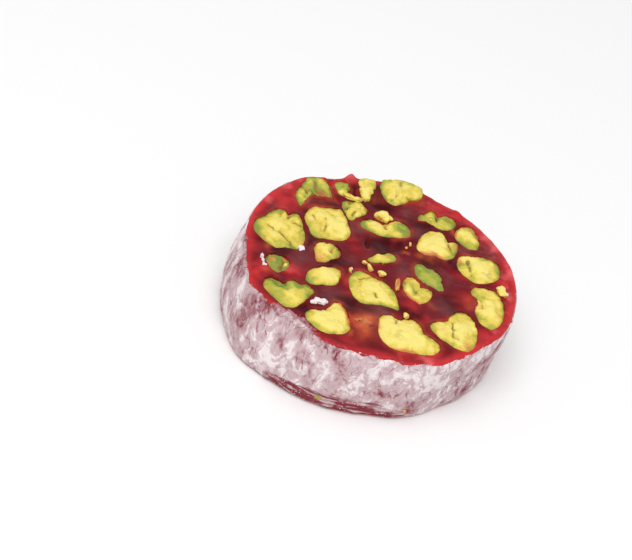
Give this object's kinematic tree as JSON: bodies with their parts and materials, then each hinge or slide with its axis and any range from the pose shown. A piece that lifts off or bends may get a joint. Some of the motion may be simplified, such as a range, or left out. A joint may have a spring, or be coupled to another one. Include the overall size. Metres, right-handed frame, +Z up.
{
  "type": "turkish delight slice",
  "caption": "Flat round slice of red fruit jelly roll with whole pistachio kernels showing at both cuts and a powdered side.",
  "frame": {"origin": "on the flat lower cut, near the middle of the slice", "axes": "+Z up from the lower cut to the upper cut, which shows the larger kernels; +X to the right and +Y away from the viewer when the slice is seen as in the picture"},
  "size_m": [0.0516, 0.0511, 0.0158],
  "materials": {
    "jelly": "glossy, translucent deep red",
    "pistachio": "satin, yellow to olive green",
    "powder": "matt white sugar and starch powder"
  },
  "bodies": {
    "root": {"delight": "jelly", "pistachio_01": "pistachio", "pistachio_02": "pistachio", "pistachio_03": "pistachio", "pistachio_04": "pistachio", "pistachio_05": "pistachio", "pistachio_06": "pistachio", "pistachio_07": "pistachio", "pistachio_08": "pistachio", "pistachio_09": "pistachio", "pistachio_10": "pistachio", "pistachio_11": "pistachio", "pistachio_12": "pistachio", "pistachio_13": "pistachio", "pistachio_14": "pistachio", "pistachio_15": "pistachio", "pistachio_16": "pistachio", "pistachio_17": "pistachio", "pistachio_18": "pistachio", "pistachio_19": "pistachio", "pistachio_20": "pistachio", "pistachio_21": "pistachio", "pistachio_22": "pistachio", "pistachio_23": "pistachio", "pistachio_24": "pistachio", "pistachio_25": "pistachio", "pistachio_26": "pistachio", "pistachio_27": "pistachio", "pistachio_28": "pistachio", "pistachio_29": "pistachio", "pistachio_30": "pistachio", "pistachio_31": "pistachio", "pistachio_32": "pistachio", "pistachio_33": "pistachio", "pistachio_34": "pistachio", "pistachio_35": "pistachio", "pistachio_36": "pistachio", "pistachio_37": "pistachio", "pistachio_38": "pistachio"}
  },
  "joints": []
}
